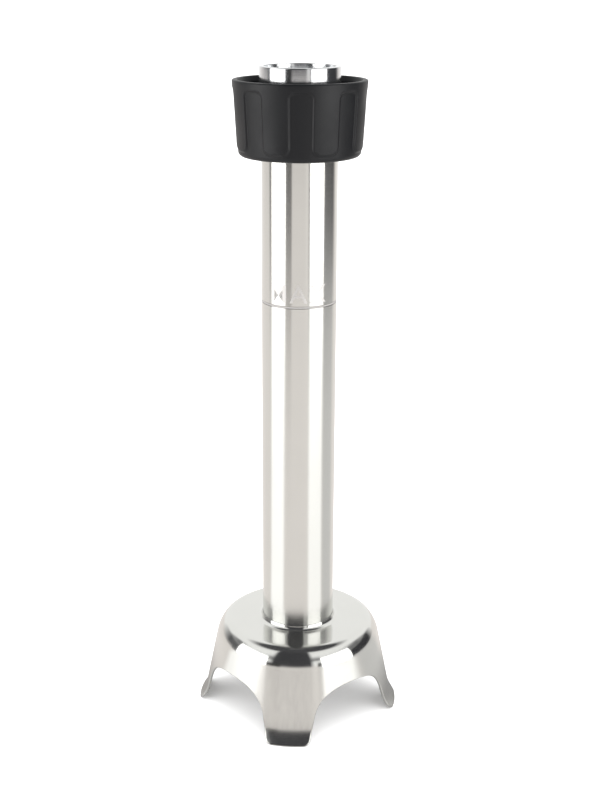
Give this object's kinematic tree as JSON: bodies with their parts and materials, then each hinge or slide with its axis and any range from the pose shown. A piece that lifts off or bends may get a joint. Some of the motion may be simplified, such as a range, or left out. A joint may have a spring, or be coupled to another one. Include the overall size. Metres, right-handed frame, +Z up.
{
  "type": "immersion blender shaft",
  "caption": "Detachable blending shaft: steel tube, arched guard with a blade inside, and a turning grip collar around an open drive spigot.",
  "frame": {"origin": "middle of the footprint, on the surface the four guard feet stand on", "axes": "+Z up along the drive axis, from the guard to the coupling; the arches between the feet face +X, -X, +Y and -Y"},
  "size_m": [0.093, 0.093, 0.3427],
  "materials": {
    "guard_steel": "satin polished stainless",
    "tube_steel": "polished stainless with a fine lengthwise grain",
    "spigot_alloy": "turned and polished",
    "collar_plastic": "fine satin moulding",
    "insert_metal": "black anodised",
    "spring_steel": "phosphated spring steel",
    "bearing_steel": "ground",
    "cage_brass": "pressed",
    "acetal": "natural acetal",
    "seal_rubber": "matt",
    "hub_steel": "turned stainless",
    "bush_bronze": "sintered",
    "shaft_steel": "ground stainless",
    "coupling_steel": "hardened steel",
    "blade_steel": "ground stainless"
  },
  "bodies": {
    "housing": {"guard_bell": "guard_steel", "outer_tube": "tube_steel", "coupling_spigot": "spigot_alloy", "collar_snap_ring": "spring_steel", "collar_thrust_washer": "acetal", "bearing_outer_race": "bearing_steel", "bearing_snap_ring": "spring_steel", "bearing_shield_upper": "bearing_steel", "bearing_shield_lower": "bearing_steel", "mid_support_bush": "acetal", "mid_bush_o_ring_upper": "seal_rubber", "mid_bush_o_ring_lower": "seal_rubber", "lower_hub": "hub_steel", "hub_o_ring": "seal_rubber", "hub_clamp_nut": "hub_steel", "lower_bush": "bush_bronze", "lip_seal": "seal_rubber", "seal_garter_spring": "spring_steel", "seal_retainer": "hub_steel"},
    "collar": {"locking_collar": "collar_plastic", "collar_thread_insert": "insert_metal"},
    "shaft": {"drive_shaft": "shaft_steel", "drive_coupling": "coupling_steel", "coupling_screw": "coupling_steel", "bearing_inner_race": "bearing_steel", "shaft_circlip_upper": "spring_steel", "shaft_circlip_lower": "spring_steel", "blade_spacer": "shaft_steel", "blade": "blade_steel", "blade_washer": "shaft_steel", "blade_nut": "shaft_steel"},
    "bearing_cage": {"ball_cage": "cage_brass", "bearing_ball_1": "bearing_steel", "bearing_ball_2": "bearing_steel", "bearing_ball_3": "bearing_steel", "bearing_ball_4": "bearing_steel", "bearing_ball_5": "bearing_steel", "bearing_ball_6": "bearing_steel", "bearing_ball_7": "bearing_steel"}
  },
  "joints": [
    {"name": "collar_spin", "type": "hinge", "parent": "housing", "child": "collar", "pos_m": [0, 0, 0.318], "axis": [0, 0, 1], "continuous": true},
    {"name": "shaft_spin", "type": "hinge", "parent": "housing", "child": "shaft", "pos_m": [0, 0, 0.165], "axis": [0, 0, 1], "continuous": true},
    {"name": "cage_spin", "type": "hinge", "parent": "housing", "child": "bearing_cage", "pos_m": [0, 0, 0.315], "axis": [0, 0, 1], "continuous": true}
  ],
  "couplings": [
    {"joint": "cage_spin", "follows": "shaft_spin", "ratio": 0.3685}
  ]
}
